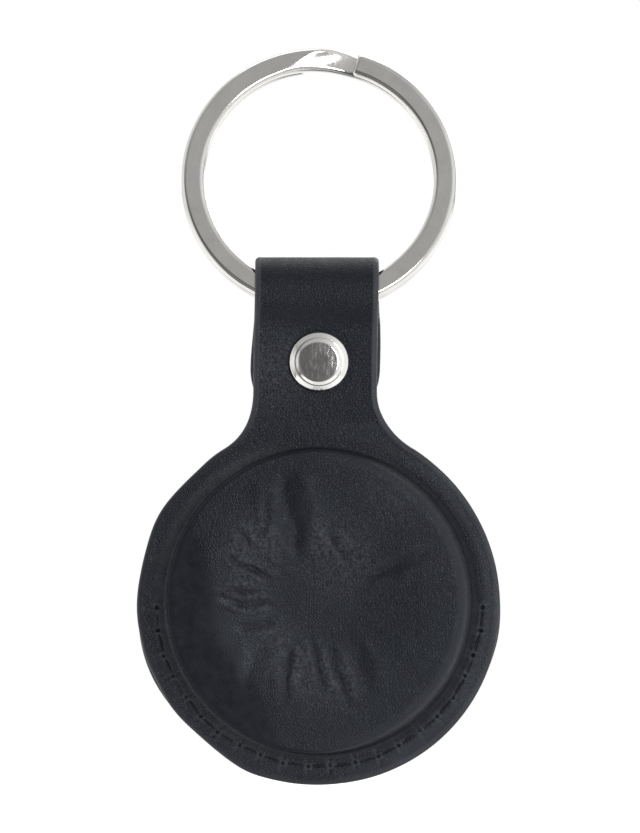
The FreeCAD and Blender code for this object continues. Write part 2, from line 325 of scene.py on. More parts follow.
# Snap caps from the middle out: share of the radius, drop below the top and bend. A foot has no drop.
# The front cap's rim spreads a little when it is set.
cap_growth = 1.03
cap_sink = 0.02
cap_profile = (
    (0.3, 0.005, 6.0),
    (0.66, 0.05, 0.5),
    (0.78, 0.3, 0.04),
    (0.81, 0.312, 0.06),
    (0.965, 0.65, 0.25),
    (1.0, 0.86, 0.03),
)
cap_foot = (1.0, 0.02)
cap_step = 0.035
cap_sides = 160
post_profile = ((0.55, 0.05, 4.0), (1.0, 0.3, 0.25))
post_foot = (0.97, 0.1)
post_step = 0.08

# Ring of flat wire
ring_radius = 16.0
wire_width = 2.6
wire_thickness = 1.25
wire_edge = 0.56
wire_end = 0.3
wire_end_size = 0.88
wire_step = 0.06
coil_gap = 0.1
ring_tilt = math.radians(18.0)
front_end = math.radians(17.0)
joggle_start = math.radians(-7.5)
joggle_end = math.radians(14.5)
joggle_skew = math.radians(11.0)
rear_end = math.radians(-7.0)
ring_step = math.radians(1.0)

# Leather's look: sizes and heights of its grain, and tones from the deepest to the palest, several of which
# paint sparkle, highlights and fill light
cloud_size = 6.0
mottle_size = 1.1
mottle_height = 0.05
sparkle_size = 0.26
fibre_size = 0.4
pebble_size = 0.32
pebble_height = 0.03
pore_size = 0.12
pore_height = 0.012
satin = (0.38, 0.5)
calm_gloss = 0.1
matt_roughness = 0.85
leather_tint = (0.84, 0.9, 1, 1)
deep_tone = (0.0043, 0.0052, 0.0088, 1)
plain_tone = (0.0077, 0.009, 0.0138, 1)
# Pale specks: painted sparkle of the grain's highlights
sparkle_tone = (0.0215, 0.0255, 0.032, 1)
# Tone of the pale patches, also of the light painted on the rim and on crease ridges
pale_and_lit_tone = (0.05, 0.0535, 0.061, 1)
# Tone of the painted light: fill in the shadow beside the left wall, and highlights on the right crown,
# wall and outer rim and round the needle holes
painted_light_tone = (0.053, 0.0575, 0.064, 1)
cut_tone = (0.055, 0.057, 0.061, 1)
# Tone of the paler band along the strap's edges, also of the painted highlight along the rim's right edge
edge_band_tone = (0.052, 0.055, 0.063, 1)
flesh_tones = ((0.009, 0.009, 0.0105, 1), (0.028, 0.027, 0.028, 1))
flesh_grain = (0.35, 5.0, 0.7, 1.5)
thread_tones = ((0.003, 0.0035, 0.005, 1), (0.012, 0.013, 0.016, 1))
thread_grain = (0.16, 3.0, 0.6)

# Photograph
photo_width = 640
photo_height = 833
pixels_per_mm = 8.6
disc_pixel = (319.0, 603.0)
camera_distance = 3000.0
sensor = 36.0

# Room that polished metal shows: degrees from its dim side and brightness there
dim_side = Vector((-0.5, -0.85, -0.15)).normalized()
room_levels = (
    (90, 1.0),
    (75, 0.85),
    (60, 0.6),
    (50, 0.42),
    (40, 0.235),
    (30, 0.11),
    (20, 0.14),
    (0, 0.3),
)
bright_left_zone = (-0.75, -0.92)
dim_back = Vector((0.3, 0.95, 0.1)).normalized()
dim_back_level = 0.25
dim_back_zone = (0.55, 0.9)
ceiling_level = 0.5
ceiling_zone = (0.6, 0.95)
soft_level = 0.45

# Floor and lamps: each lamp's place, width and watts
floor_tone = 0.85
floor_drop = 12.0
floor_front = 55.0
floor_side = 1500.0
floor_back = 2500.0
floor_near = 15.0
floor_far = 80.0
floor_glow = (0.3, 0.62)
aim_height = 15.0
lamps = {
    "key": ((300, -890, 40), 340, 2.3),
    "top": ((-40, 330, 600), 600, 1.2),
    "back": ((300, 800, 240), 600, 2.0),
}


# Places from the frame


def node_box(node):
    low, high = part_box(node)
    return np.array(low) / mm, np.array(high) / mm


hinges = {joint["name"]: np.array(joint["pos_m"]) / mm for joint in frame["record"]["behaviour"]["joints"]}
front_low, front_high = node_box("front_panel")
rear_low, rear_high = node_box("rear_panel")
tail_low, _ = node_box("strap_tail")
cap_low, cap_high = node_box("snap_cap")
post_low, post_high = node_box("snap_post")

disc_radius = (rear_high[0] - rear_low[0]) / 2
centre = np.array([0.0, rear_low[1] - panel_gap, rear_low[2] + disc_radius])
front_depth = centre[1] - leather - front_low[1]
rear_depth = rear_high[1] - rear_low[1] - leather
dome_foot_radius = wall_base_radius + leather
seam_radius = disc_radius - seam_inset

snap_z = (cap_low[2] + cap_high[2]) / 2 - centre[2]
loop_y, pivot_z = hinges["ring_swing"][1:] - centre[1:]
fold_radius = front_high[2] - centre[2] - pivot_z - leather / 2
bend_start_z = snap_z + snap_flat
bend_end_z = pivot_z - fold_straight
tail_y = tail_low[1] - centre[1] + leather / 2
tail_end_radius = tail_width / 2
tail_end_z = snap_z - tail_end_drop
tail_tip_z = tail_end_z - tail_end_radius


# Shared helpers


def unit(vector):
    return vector / np.linalg.norm(vector)


def lengths(vectors):
    return np.linalg.norm(vectors, axis=-1)


def columns(*parts):
    return np.stack(parts, axis=-1)


def joined(*parts):
    return np.concatenate(parts)


def clockwise(turns):
    """Flat unit vectors at clockwise angles from the top."""
    return columns(np.sin(turns), np.cos(turns))


def smooth(low, high, value):
    """Rises smoothly from 0 at low to 1 at high."""
    share = np.clip((value - low) / (high - low), 0, 1)
    return share * share * (3 - 2 * share)


def between(inner, outer, value):
    """1 between an inner and an outer zone."""
    return smooth(*inner, value) * smooth(*outer, value)


def ramp(low, high, value, ease=0.2):
    """Rises evenly from 0 at low to 1 at high, eased at both ends."""
    share = np.clip((value - low) / (high - low), -ease, 1 + ease)
    start = np.where(share < ease, (share + ease) ** 2 / (4 * ease), share)
    return np.where(share > 1 - ease, 1 - (1 - share + ease) ** 2 / (4 * ease), start)


def bell(value, width):
    return np.exp(-((value / width) ** 2))


def wave(index, step, start):
    return np.sin(index * step + start)


def rounded_path(corners, radii, step=path_step):
    """Points along straight runs joined by tangent arcs, a step apart."""
    corners = [np.array(corner, float) for corner in corners]
    run_start = corners[0]
    points = [corners[0][None]]
    for before, corner, after, radius in zip(corners, corners[1:], corners[2:], radii):
        to_before = unit(before - corner)
        to_after = unit(after - corner)
        half_angle = math.acos(np.clip(to_before @ to_after, -1, 1)) / 2
        middle = corner + unit(to_before + to_after) * radius / math.sin(half_angle)
        start = corner + to_before * radius / math.tan(half_angle)
        end = corner + to_after * radius / math.tan(half_angle)
        turn = math.pi - 2 * half_angle
        shares = np.linspace(0, 1, max(3, math.ceil(radius * turn / step)))[:, None]
        arc = np.sin((1 - shares) * turn) * (start - middle) + np.sin(shares * turn) * (end - middle)
        points += [straight(run_start, start, step), middle + arc / math.sin(turn)]
        run_start = end
    points.append(straight(run_start, corners[-1], step))
    path = np.concatenate(points)
    return path[joined([True], lengths(np.diff(path, axis=0)) > 1e-6)]


def straight(start, end, step):
    count = max(2, math.ceil(np.linalg.norm(end - start) / step))
    return start + (end - start) * np.linspace(0, 1, count)[:, None]


def path_length(path):
    return lengths(np.diff(path, axis=0)).sum()


def walked(path):
    """The length from a path's start to each of its points."""
    return joined([0], np.cumsum(lengths(np.diff(path, axis=0))))


def interpolate(at, length, values):
    return columns(*(np.interp(at, length, column) for column in values.T))


def along(path, distance):
    """Places and unit directions at distances along a path of close points."""
    length = walked(path)
    directions = interpolate(distance, length, np.gradient(path, length, axis=0))
    return interpolate(distance, length, path), directions / lengths(directions)[:, None]


def resample(line, step):
    """Evenly spaced points along a line, about a step apart."""
    length = walked(line)
    count = max(2, round(length[-1] / step))
    return interpolate(np.linspace(0, length[-1], count + 1), length, line)


def add_object(name, data):
    item = bpy.data.objects.new(name, data)
    bpy.context.scene.collection.objects.link(item)
    return item


def new_object(name, points, faces, materials, face_slots=None):
    """A smooth mesh object from points in millimetres."""
    mesh = bpy.data.meshes.new(name)
    mesh.from_pydata((np.asarray(points) * mm).tolist(), [], faces)
    for material in materials:
        mesh.materials.append(material)
    if face_slots is not None:
        mesh.polygons.foreach_set("material_index", face_slots)
    mesh.shade_smooth()
    mesh.update()
    return add_object(name, mesh)


def skin(count, sides):
    """Quads between rings of equally many points, with capped ends."""
    faces = []
    for start in range(0, (count - 1) * sides, sides):
        for side in range(sides):
            beside = (side + 1) % sides
            faces.append((start + side, start + beside, start + sides + beside, start + sides + side))
    faces.append(tuple(range(sides))[::-1])
    faces.append(tuple(range((count - 1) * sides, count * sides)))
    return faces


def tube(points, radii, sides):
    """Rings of points round a line, for skin()."""
    directions = np.gradient(points, axis=0)
    directions /= lengths(directions)[:, None]
    side = np.cross(directions, [0.0, 1.0, 0.0])
    side /= lengths(side)[:, None]
    front = np.cross(side, directions)
    turns = np.linspace(0, 2 * math.pi, sides, endpoint=False)[None, :, None]
    outwards = np.cos(turns) * side[:, None] + np.sin(turns) * front[:, None]
    return (points[:, None] + radii[:, None, None] * outwards).reshape(-1, 3)


def lathe(name, profile, middle, facing, material):
    """A turned piece about Y from (radius, height) points that start and end on the axis."""
    turns = np.linspace(0, 2 * math.pi, cap_sides, endpoint=False)
    ring = columns(np.sin(turns), np.zeros(cap_sides), np.cos(turns))
    out = np.array([0, facing, 0])
    points = [middle + out * profile[0][1]]
    for radius, height in profile[1:-1]:
        points.extend(middle + ring * radius + out * height)
    points.append(middle + out * profile[-1][1])
    last = len(points) - 1
    end = last - cap_sides
    faces = []
    for side in range(cap_sides):
        beside = (side + 1) % cap_sides
        faces.append((0, 1 + beside, 1 + side))
        for low in range(1, end, cap_sides):
            high = low + cap_sides
            faces.append((low + side, low + beside, high + beside, high + side))
        faces.append((last, end + side, end + beside))
    if facing > 0:
        faces = [face[::-1] for face in faces]
    return new_object(name, points, faces, [material])


# Materials


def grey(level):
    return (level, level, level, 1)


class Graph:
    """Adds and links the nodes of one material or world."""

    def __init__(self, owner):
        owner.use_nodes = True
        self.owner = owner
        self.tree = owner.node_tree
        self.shader = self.tree.nodes.get("Principled BSDF")

    def node(self, kind, inputs=None, **settings):
        node = self.tree.nodes.new("ShaderNode" + kind)
        for key, value in settings.items():
            setattr(node, key, value)
        for key, value in (inputs or {}).items():
            if isinstance(value, bpy.types.NodeSocket):
                self.tree.links.new(value, node.inputs[key])
            else:
                node.inputs[key].default_value = value
        return node

    def feed(self, key, value):
        self.tree.links.new(value, self.shader.inputs[key])

    def noise(self, vector, size, detail=3.0, roughness=0.5, distortion=0.0):
        inputs = {"Vector": vector, "Scale": 1 / (size * mm), "Detail": detail}
        inputs |= {"Roughness": roughness, "Distortion": distortion}
        return self.node("TexNoise", inputs).outputs["Fac"]

    def cells(self, vector, size):
        inputs = {"Vector": vector, "Scale": 1 / (size * mm)}
        return self.node("TexVoronoi", inputs, feature="DISTANCE_TO_EDGE").outputs["Distance"]

    def spread(self, value, low, high, to_low=0, to_high=1):
        inputs = {"Value": value, "From Min": low, "From Max": high, "To Min": to_low, "To Max": to_high}
        return self.node("MapRange", inputs).outputs["Result"]

    def math(self, operation, first, second):
        return self.node("Math", {0: first, 1: second}, operation=operation).outputs[0]

    def times(self, first, second):
        return self.math("MULTIPLY", first, second)

    def dot(self, first, second):
        node = self.node("VectorMath", {0: first, 1: second}, operation="DOT_PRODUCT")
        return node.outputs["Value"]

    def mix(self, share, first, second):
        return self.node("Mix", {0: share, 6: first, 7: second}, data_type="RGBA").outputs[2]

    def bump(self, height, distance, strength=1.0, under=None):
        inputs = {"Height": height, "Distance": distance * mm, "Strength": strength}
        if under is not None:
            inputs["Normal"] = under
        return self.node("Bump", inputs).outputs["Normal"]

    def rays(self):
        """Whether it is seen straight, and whether in a reflection or through glass."""
        path = self.node("LightPath").outputs
        mirrored = self.math("MAXIMUM", path["Is Glossy Ray"], path["Is Transmission Ray"])
        return path["Is Camera Ray"], mirrored


def surface(name, **values):
    """A new material's graph and the coordinates of its object."""
    graph = Graph(bpy.data.materials.new(name))
    for key, value in values.items():
        graph.shader.inputs[key.replace("_", " ")].default_value = value
    return graph, graph.node("TexCoord").outputs["Object"]


def finish_leather():
    """Grain side: near black, satin, with fine pebbled grain, paler edges and pale patches, and painted
    light: sparkle, highlights and fill light.
    """
    graph, place = surface("black_leather", Specular_IOR_Level=0.385, Specular_Tint=leather_tint)
    edge, calm, stretch, painted_light, edge_band_and_sheen, matt = (
        graph.node("Attribute", attribute_name=name).outputs["Fac"]
        for name in ("edge", "calm", "stretch", "painted_light", "edge_band_and_sheen", "matt")
    )
    mottle = graph.noise(place, mottle_size, 3.0, 0.6)
    cloud = graph.spread(graph.noise(place, cloud_size, 4.0, 0.6), 0.35, 0.7)
    tone = graph.mix(cloud, deep_tone, plain_tone)
    # Pale specks, a painted sparkle of the grain's highlights, left out on the calm leather
    sparkles = graph.spread(graph.noise(place, sparkle_size, 2.0, 0.7), 0.52, 0.68, 0, 0.5)
    tone = graph.mix(graph.times(sparkles, graph.spread(calm, 0, 1, 1, 0)), tone, sparkle_tone)
    fibres = graph.spread(graph.noise(place, fibre_size, 4.0, 0.7), 0.42, 0.6, 0.05, 1)
    # Pale patches, with painted light on the rim, on the front's creased slopes and on crease ridges
    tone = graph.mix(graph.times(stretch, fibres), tone, pale_and_lit_tone)
    # Painted fill light and painted highlights, mottled
    tone = graph.mix(graph.times(painted_light, graph.spread(mottle, 0.35, 0.6, 0.6, 1)), tone, painted_light_tone)
    # Paler cut edges all round, stronger on the strap's leg and, as a painted highlight, on the rim's right
    cut = graph.times(graph.spread(edge, 0.1, 0.6), graph.spread(edge_band_and_sheen, 0, 1, 0.4, 1))
    tone = graph.mix(cut, tone, cut_tone)
    # Paler band inside the strap's edges, and a painted highlight inside the rim's right edge
    band = graph.times(edge_band_and_sheen, graph.spread(edge, 0.06, 0.3))
    graph.feed("Base Color", graph.mix(band, tone, edge_band_tone))
    rough = graph.spread(mottle, 0.3, 0.7, *satin)
    rough = graph.math("SUBTRACT", rough, graph.spread(calm, 0, 1, 0, calm_gloss))
    graph.feed("Roughness", graph.math("MAXIMUM", rough, graph.spread(matt, 0, 1, 0, matt_roughness)))
    grain = graph.times(graph.spread(calm, 0, 1, 1, 0.1), graph.spread(edge, 0.3, 0.8, 1, 0.2))
    pebbles = graph.times(graph.spread(graph.cells(place, pebble_size), 0, 0.25), grain)
    pores = graph.times(graph.noise(place, pore_size, 2.0, 0.6), grain)
    uneven = graph.times(mottle, graph.spread(calm, 0, 1, 1, 0.3))
    normal = graph.bump(pebbles, pebble_height, 0.8)
    normal = graph.bump(pores, pore_height, 0.6, normal)
    graph.feed("Normal", graph.bump(uneven, mottle_height, 0.4, normal))
    return graph.owner


def finish_fibres(name, tones, grain, limits, height, **values):
    """Fibres between two tones, whose grain is the size, detail, roughness and distortion of noise."""
    graph, place = surface(name, **values)
    fibres = graph.noise(place, *grain)
    graph.feed("Base Color", graph.mix(graph.spread(fibres, *limits), *tones))
    graph.feed("Normal", graph.bump(fibres, height, 0.8))
    return graph.owner


def finish_metal(name, tone, roughness, scratch):
    """Plated metal with fine scuffs."""
    graph, place = surface(name, Metallic=1.0)
    share = graph.spread(graph.noise(place, 2.2, 3.0, 0.6), 0.35, 0.7)
    dark = tuple(channel * 0.9 for channel in tone)
    graph.feed("Base Color", graph.mix(share, tone + (1,), dark + (1,)))
    stretched = graph.node("Mapping", {"Vector": place, "Scale": (3.0, 3.0, 1.0)})
    scuffs = graph.noise(stretched.outputs["Vector"], 0.9, 2.0, 0.5)
    graph.feed("Roughness", graph.spread(scuffs, 0.3, 0.75, *roughness))
    graph.feed("Normal", graph.bump(scuffs, scratch, 0.6))
    return graph.owner


leather_finish = finish_leather()
flesh_look = {"Specular_IOR_Level": 0.25, "Roughness": 0.92}
flesh_finish = finish_fibres("leather_flesh_side", flesh_tones, flesh_grain, (0.3, 0.7), 0.12, **flesh_look)
thread_look = {"Specular_IOR_Level": 0.3, "Roughness": 0.6}
thread_finish = finish_fibres("waxed_thread", thread_tones, thread_grain, (0.35, 0.65), 0.05, **thread_look)
cap_finish = finish_metal("nickel_plate", (0.9, 0.885, 0.86), (0.07, 0.16), 0.02)
ring_finish = finish_metal("ring_steel", (0.74, 0.73, 0.705), (0.1, 0.2), 0.006)
spring_finish = finish_metal("spring_wire", (0.6, 0.6, 0.6), (0.25, 0.4), 0.01)


# Leather sheets


def offset_line(line, distance, closed):
    """The line moved to its left by a distance."""
    if closed:
        ahead = np.roll(line, -1, axis=0) - np.roll(line, 1, axis=0)
    else:
        ahead = np.gradient(line, axis=0)
    left = columns(-ahead[:, 1], ahead[:, 0])
    return line + left / lengths(left)[:, None] * distance


def inside(points, outline):
    """Which points lie inside a closed outline."""
    x, y = points[:, :1], points[:, 1:]
    start, end = outline, np.roll(outline, -1, axis=0)
    crosses = (start[None, :, 1] > y) != (end[None, :, 1] > y)
    rise = end[:, 1] - start[:, 1]
    rise = np.where(rise == 0, tiny, rise)
    at = start[None, :, 0] + (y - start[None, :, 1]) / rise[None] * (end[:, 0] - start[:, 0])[None]
    return np.count_nonzero(crosses & (x < at), axis=1) % 2 == 1


def far_from(points, line, distance):
    """Which points lie further than a distance from the points of a line."""
    blocks = np.array_split(points, len(points) // block_size + 1)
    gaps = [lengths(block[:, None] - line[None]).min(axis=1) for block in blocks]
    return np.concatenate(gaps) > distance


def half_thickness(depth):
    """Half the leather's thickness at a depth in from its rounded edge."""
    share = np.clip(depth / edge_round, 0, 1)
    return leather / 2 * (1 - (1 - share) ** edge_square) ** (1 / edge_square)


def sheet_points(edge, inner, seam):
    """The flat points of a sheet with their depth in from its edge, and the loop round it.

    The edge is walked with the leather on its left. It is closed if there is no seam, and else the sheet
    goes on in another one along the seam, from the edge's last point to its first.
    """
    closed = seam is None
    flat = [edge]
    depths = [np.zeros(len(edge))]
    if not closed:
        flat.append(seam)
        from_ends = np.minimum(lengths(seam - edge[0]), lengths(seam - edge[-1]))
        depths.append(np.minimum(from_ends, edge_round))
    border = np.concatenate(flat)
    for share in edge_step_shares[1:]:
        line = offset_line(edge, share * edge_round, closed)
        line = line if closed else line[2:-2]
        flat.append(line)
        depths.append(np.full(len(line), share * edge_round))
    room = inner[inside(inner, border)]
    room = room[far_from(room, edge, edge_round + edge_clearance)]
    if not closed:
        room = room[far_from(room, seam, edge_clearance)]
    flat.append(room)
    depths.append(np.full(len(room), edge_round))
    return np.concatenate(flat), np.concatenate(depths), list(range(len(border)))


def leather_sheet(name, edge, inner, place, relief, seam=None, facing=-1):
    """A sheet of leather with rounded edges.

    place() puts flat points in the room, and relief() raises the sheet's grain side.
    """
    flat, depth, loop = sheet_points(edge, inner, seam)
    corners = [Vector(point) for point in flat]
    flat, _, triangles, origins, _, _ = delaunay_2d_cdt(corners, [], [loop], 1, 1e-5)
    flat = np.array(flat)
    depth = depth[[origin[0] for origin in origins]]
    middle, normal = place(flat)
    half = half_thickness(depth)[:, None]
    pressed = edge_line_depth * bell(depth - edge_round, edge_line_width)
    raised = (relief(middle, flat) * smooth(0, relief_fade, depth) - pressed)[:, None]
    grain = middle + normal * (half + raised)
    flesh = middle - normal * half
    shared = depth < tiny
    count = len(flat)
    flesh_index = np.where(shared, np.arange(count), np.cumsum(~shared) - 1 + count)
    points = joined(grain, flesh[~shared]) + centre
    faces = []
    slots = []
    order = 1 if facing < 0 else -1
    for triangle in triangles:
        faces.append(tuple(triangle)[::order])
        slots.append(0)
        faces.append(tuple(int(flesh_index[index]) for index in triangle)[::-order])
        slots.append(1 if depth[list(triangle)].min() > flesh_share * edge_round else 0)
    piece = new_object(name, points, faces, [leather_finish, flesh_finish], slots)
    edge_closeness = 1 - np.clip(depth / edge_round, 0, 1)
    add_attribute(piece, "edge", joined(edge_closeness, edge_closeness[~shared]))
    return piece


def add_attribute(piece, name, values):
    layer = piece.data.attributes.new(name, "FLOAT", "POINT")
    layer.data.foreach_set("value", np.asarray(values, np.float32))


def ring_points(radii, step):
    """Flat points on circles about the pocket's middle."""
    circles = []
    for index, radius in enumerate(radii):
        count = max(1, round(2 * math.pi * radius / step))
        turns = (np.arange(count) + 0.5 * (index % 2)) * 2 * math.pi / count
        circles.append(dome_shift + radius * clockwise(turns))
    return np.concatenate(circles)


def grid_points(low, high, step):
    """Flat points in staggered rows."""
    rows = []
    for index, height in enumerate(np.arange(low[1], high[1], step * row_share)):
        across = np.arange(low[0], high[0], step) + step / 2 * (index % 2)
        rows.append(columns(across, np.full(len(across), height)))
    return np.concatenate(rows)


def outside_pocket(flat):
    return flat[lengths(flat - dome_shift) > dome_foot_radius + pocket_clearance]


def seam_points():
    """Close flat points along the seam, for its groove and needle holes."""
    rows = []
    for index, radius in enumerate(np.arange(seam_radius - seam_band, seam_radius + seam_band, seam_step)):
        count = round(math.pi * radius / seam_step)
        turns = (np.arange(count) + 0.5 * (index % 2)) * math.pi / count
        rows.append(radius * columns(np.cos(turns), -np.sin(turns)))
    return outside_pocket(np.concatenate(rows))


def rim_points(high):
    """Flat points of a panel outside the pocket and the seam."""
    reach = disc_radius + sheet_margin
    points = outside_pocket(grid_points((-reach, -reach), (reach, high), rim_step))
    off_seam = np.abs(lengths(points) - seam_radius)
    near_seam = (off_seam < seam_band + seam_step) & (points[:, 1] < seam_step)
    return points[~near_seam]


def wall_profile(depth, side, lean, bends):
    """One face of the moulded wall as (radius, height) points, from the axis out to the flat rim."""
    corners = [
        (0, depth + side),
        (wall_base_radius - lean + side, depth + side),
        (wall_base_radius + side, side),
        (dome_foot_radius, side),
    ]
    return rounded_path(corners, bends)


def dome_points(depth, step, fine):
    """Flat points of a moulded panel out to the wall's foot, closer at its wall."""
    profile = wall_profile(depth, leather / 2, slack_lean, (slack_crown_bends[0], slack_foot_bends[0]))
    flattened = dome_foot_radius / path_length(profile)
    crown = (wall_base_radius - slack_lean - crown_margin) * flattened
    plateau = np.arange(0.0, crown, step * flattened)
    wall = np.arange(crown, dome_foot_radius + fine_step, fine)
    return ring_points(joined(plateau, wall), step * flattened)


def spokes(away):
    """The lengths and unit directions of flat vectors."""
    radius = lengths(away)
    return radius, away / np.maximum(radius, tiny)[:, None]


def at_right(across, radius):
    """Rises to 1 towards the right, where the pocket's leather is slack."""
    return smooth(*slack_zone, across[:, 0] / np.maximum(radius, tiny))


def ripple(flat, size, amount, seed):
    """Slow unevenness of hand-worked leather."""
    return amount * np.array([noise.noise(Vector((x / size, s / size, seed))) for x, s in flat])


def rim_wave(flat):
    """How far the sewn rim lies out of its plane, the same for both leathers."""
    free = smooth(dome_foot_radius, disc_radius, lengths(flat - dome_shift))
    return free * smooth(*wave_zone, flat[:, 1]) * ripple(flat, wave_size, wave_height, seed=15.0)


def on_dome(flat, depth, base_y, facing):
    """Places and normals of flat points on a moulded panel whose grain side faces -Y or +Y.

    The wall stands steep at the left, above and below, and leans with a rounder crown at the right.
    """
    away = flat - dome_shift
    radius, spoke = spokes(away)
    slack = at_right(away, radius)[:, None]
    share = np.minimum(radius / dome_foot_radius, 1)
    faces = []
    for face, side in enumerate((leather / 2, -leather / 2)):
        steep = wall_profile(depth, side, steep_lean, (steep_crown_bends[face], steep_foot_bends[face]))
        loose = wall_profile(depth, side, slack_lean, (slack_crown_bends[face], slack_foot_bends[face]))
        on_steep, on_loose = (along(wall, share * path_length(wall))[0] for wall in (steep, loose))
        faces.append(on_steep + (on_loose - on_steep) * slack)
    grain, flesh = faces
    reach = (grain[:, 0] + flesh[:, 0]) / 2 + np.maximum(radius - dome_foot_radius, 0)
    height = (grain[:, 1] + flesh[:, 1]) / 2
    lift = (grain - flesh) / leather
    across = dome_shift + spoke * reach[:, None]
    middle = columns(across[:, 0], base_y + facing * height + rim_wave(flat), across[:, 1])
    normal = columns(spoke[:, 0] * lift[:, 0], facing * lift[:, 1], spoke[:, 1] * lift[:, 0])
    return middle, normal


def strap_path():
    """The strap's middle line seen from its side, (y, z).

    It goes from the flat leg up over the ring and down to the tail's tip.
    """
    leg_y = -leather / 2
    fold_y = loop_y - fold_radius
    back_y = loop_y + fold_radius
    top = pivot_z + fold_radius
    rise = bend_end_z - bend_start_z
    bow_turn = math.atan2(leg_y - fold_y, rise)
    bow_reach = rise / (1 + math.cos(2 * bow_turn)) / 2
    tail_turn = math.acos(1 - (back_y - tail_y) / (fold_radius + tail_bend))
    reaches = [radius * math.tan(tail_turn / 2) for radius in (fold_radius, tail_bend)]
    corners = [
        (leg_y, bend_start_z),
        (leg_y, bend_start_z + bow_reach),
        (fold_y, bend_end_z - bow_reach),
        (fold_y, top),
        (back_y, top),
        (back_y, bend_end_z - reaches[0]),
        (tail_y, bend_start_z + reaches[1]),
        (tail_y, tail_tip_z),
    ]
    bow_radius = bow_reach / math.tan(bow_turn)
    return rounded_path(corners, [bow_radius] * 2 + [fold_radius] * 3 + [tail_bend])


strap = strap_path()
strap_end = bend_start_z + path_length(strap)
tail_end_s = strap_end - tail_end_radius
to_seam = np.where(strap[:, 0] > loop_y, abs(strap[:, 1] - (pivot_z - fold_straight / 2)), np.inf)
seam_s = bend_start_z + path_length(strap[: np.argmin(to_seam) + 1])


def on_strap(flat):
    """Places and normals of flat points (x, length along the strap)."""
    placed, run = along(strap, flat[:, 1] - bend_start_z)
    middle = columns(flat[:, 0], placed[:, 0], placed[:, 1])
    return middle, columns(np.zeros(len(flat)), -run[:, 1], run[:, 0])


def rim_radius(angle, bumps):
    """The disc's radius at a clockwise angle from the top, in degrees."""
    radius = disc_radius - rim_drop * np.cos(np.radians(angle))
    for middle, half_width, amount in bumps:
        radius = radius + amount * bell(angle - middle, half_width)
    return radius


def strap_offset(s):
    """How far the strap lies off the middle, which grows over the neck."""
    over_neck = strap_shift * smooth(*neck_shift_zone, s)
    return over_neck + (fold_shift - strap_shift) * smooth(*fold_shift_zone, s)


def front_edge():
    """The front leather's free edge, from the strap's left end round the disc to its right end."""
    half = strap_width / 2
    neck_x = half + neck_fillet
    neck_z = math.sqrt((disc_radius + neck_fillet) ** 2 - neck_x**2)
    foot = math.degrees(math.atan2(neck_x, neck_z))
    turns = np.radians(np.linspace(0, 90 - foot, 40))
    arc = columns(half + neck_fillet * (1 - np.cos(turns)), neck_z - neck_fillet * np.sin(turns))
    angles = np.linspace(foot, 360 - foot, rim_samples)
    fade = smooth(0, neck_fade, angles - foot) * smooth(0, neck_fade, 360 - foot - angles)
    radius = disc_radius + (rim_radius(angles, rim_bumps) - disc_radius) * fade
    disc = clockwise(np.radians(angles)) * radius[:, None]
    right = joined([[half, seam_s]], arc)
    left = right[::-1] * [-1, 1]
    line = resample(joined(right, disc[1:-1], left)[::-1], fine_step)
    line[:, 0] += strap_offset(line[:, 1])
    return line


def strap_seam():
    """Points across the strap where its two sheets meet, from right to left, without the ends."""
    half = strap_width / 2
    depths = np.array(edge_step_shares[1:]) * edge_round
    inner = np.linspace(half - edge_round, edge_round - half, 60)[1:-1]
    across = joined(half - depths, inner, depths[::-1] - half)
    return columns(across + fold_shift, np.full(len(across), seam_s))


def seam_places():
    """Needle holes from the seam's right end to its left, a little off the line."""
    steps = np.arange(stitch_count + 1)
    turns = np.radians(np.linspace(seam_half_angle, -seam_half_angle, stitch_count + 1))
    turns = turns + hole_wander / seam_radius * wave(steps, *along_wave)
    radius = seam_radius + hole_wander * wave(steps, *across_wave)
    return columns(np.sin(turns), -np.cos(turns)) * radius[:, None]


def from_hole(across, hole):
    """How far points lie outwards of a needle hole, and beside it along the seam."""
    away = across - hole
    spoke = unit(hole)
    return away @ spoke, away @ np.array([spoke[1], -spoke[0]])


def seam_relief(middle):
    """The groove that the stitches pull into the rim, with a dimple at each needle hole."""
    across = middle[:, [0, 2]]
    turn = np.abs(np.arctan2(across[:, 0], -across[:, 1]))
    end = math.radians(seam_half_angle)
    groove = groove_depth * bell(lengths(across) - seam_radius, groove_width)
    height = -groove * smooth(end + seam_fade, end - seam_fade, turn)
    for index, hole in enumerate(seam_places()):
        out, beside = from_hole(across, hole)
        stretch = hole_change * wave(index, *hole_wave)
        gap = np.hypot(out * (1 + stretch), beside * (1 - stretch))
        at_end = index < end_holes[0] or index > stitch_count - end_holes[1]
        depth, width = end_hole_size if at_end else hole_size
        height += lip_height * bell(gap - lip_radius, lip_width) - depth * bell(gap, width)
        height -= dent_depth * bell(beside, dent_width) * bell(out, dent_reach)
    return height


def crease_relief(across, creases):
    """Valleys with a soft ridge on each side, a little wavy."""
    height = np.zeros(len(across))
    across = across + columns(*(ripple(across, warp_size, warp_reach, seed) for seed in (21.0, 34.0)))
    for start, end, width, depth in creases:
        start, end = np.array(start), np.array(end)
        length = np.linalg.norm(end - start)
        ahead = (end - start) / length
        out = (across - start) @ ahead
        beside = np.abs((across - start) @ np.array([ahead[1], -ahead[0]]))
        fade = min(crease_fade, length / 2)
        window = smooth(-fade, fade, out) * smooth(length + fade, length - fade, out)
        ridges = ridge_share * bell(beside - ridge_gap * width, width)
        height += depth * window * (ridges - bell(beside, width))
    return height * crease_height * (1 + ripple(across, crease_change_size, crease_change, seed=8.0))


def wrinkles(across):
    """Fine folds that fan out from the pocket's middle."""
    radius, spoke = spokes(across - dome_shift)
    places = columns(*(spoke * wrinkle_turns).T, radius / wrinkle_length)
    waves = np.array([noise.noise(Vector(place)) for place in places])
    return wrinkle_height * waves * between(wrinkle_inner_zone, wrinkle_outer_zone, radius)


